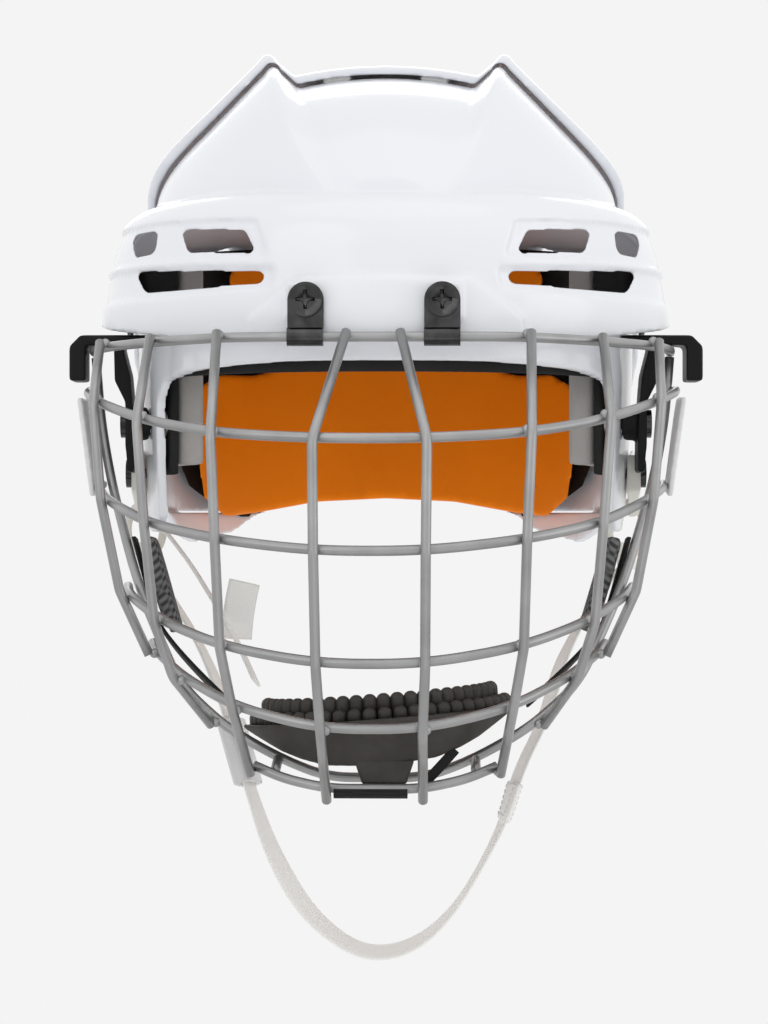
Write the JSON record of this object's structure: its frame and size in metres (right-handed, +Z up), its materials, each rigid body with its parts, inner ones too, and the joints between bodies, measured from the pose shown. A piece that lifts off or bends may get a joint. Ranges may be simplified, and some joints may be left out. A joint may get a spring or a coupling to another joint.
{
  "type": "ice hockey helmet",
  "caption": "Ice hockey helmet with a two-piece shell, foam lining, a hinged wire face cage, a chin cup and a chin strap.",
  "frame": {"origin": "middle of the head opening, at the height of the ears and eyes", "axes": "+X to the wearer's left, -Y towards the front, +Z up to the crown"},
  "size_m": [0.242, 0.3099, 0.354],
  "materials": {
    "shell": "glossy moulded white",
    "black_foam": "matte closed-cell foam",
    "grey_foam": "matte closed-cell foam",
    "orange_foam": "matte moulded foam, bare",
    "black_nickel": "dark nickel plated",
    "steel": "zinc plated",
    "black_plastic": "satin moulded",
    "white_plastic": "satin moulded",
    "cream_plastic": "soft moulded plastic",
    "white_webbing": "woven",
    "black_webbing": "woven",
    "mesh": "woven spacer mesh",
    "cup_rubber": "matte moulded, ribbed inside",
    "wire": "satin silver paint over steel wire"
  },
  "bodies": {
    "front": {"front_shell": "shell", "brow_liner": "black_foam", "forehead_pad": "black_foam", "temple_liner_left": "black_foam", "temple_liner_right": "black_foam", "temple_pad_left": "grey_foam", "temple_pad_right": "grey_foam", "crown_pad": "black_foam", "size_screws": "black_nickel", "size_washers": "black_plastic", "size_nuts": "steel", "cage_clips": "black_nickel", "clip_screws": "black_nickel", "clip_nuts": "steel", "side_clip_left": "black_plastic", "side_clip_right": "black_plastic", "side_clip_screws": "black_nickel", "side_clip_nuts": "steel", "ear_loop_left": "cream_plastic", "ear_loop_right": "cream_plastic", "loop_screws": "black_nickel", "loop_nuts": "steel", "chin_strap": "white_webbing", "strap_slider": "white_plastic", "strap_keeper": "white_webbing", "strap_branch": "white_webbing", "strap_tail": "white_webbing"},
    "rear": {"rear_shell": "shell", "rear_crown_pad": "black_foam", "occipital_pad": "orange_foam", "occipital_backing": "black_foam"},
    "cage": {"brow_wire": "wire", "upper_cross_wire": "wire", "middle_cross_wire": "wire", "lower_cross_wire": "wire", "chin_cross_wire": "wire", "bottom_wire": "wire", "frame_wire": "wire", "vertical_bars": "wire", "tie_wires": "wire", "side_plate_left": "white_plastic", "side_plate_right": "white_plastic", "chin_cup": "cup_rubber", "chin_cup_pad": "cup_rubber", "chin_cup_strap": "black_webbing", "cheek_strap_left": "black_webbing", "cheek_strap_right": "black_webbing", "cheek_pad_left": "mesh", "cheek_pad_right": "mesh"}
  },
  "joints": [
    {"name": "size_slide", "type": "slide", "parent": "front", "child": "rear", "axis": [0, 0.9976, 0.0698], "range_m": [0, 0.015]},
    {"name": "cage_hinge", "type": "hinge", "parent": "front", "child": "cage", "pos_m": [-0.00451, -0.12902, 0.0626], "axis": [-0.9994, 0.0349, 0], "range_deg": [0, 92]}
  ]
}
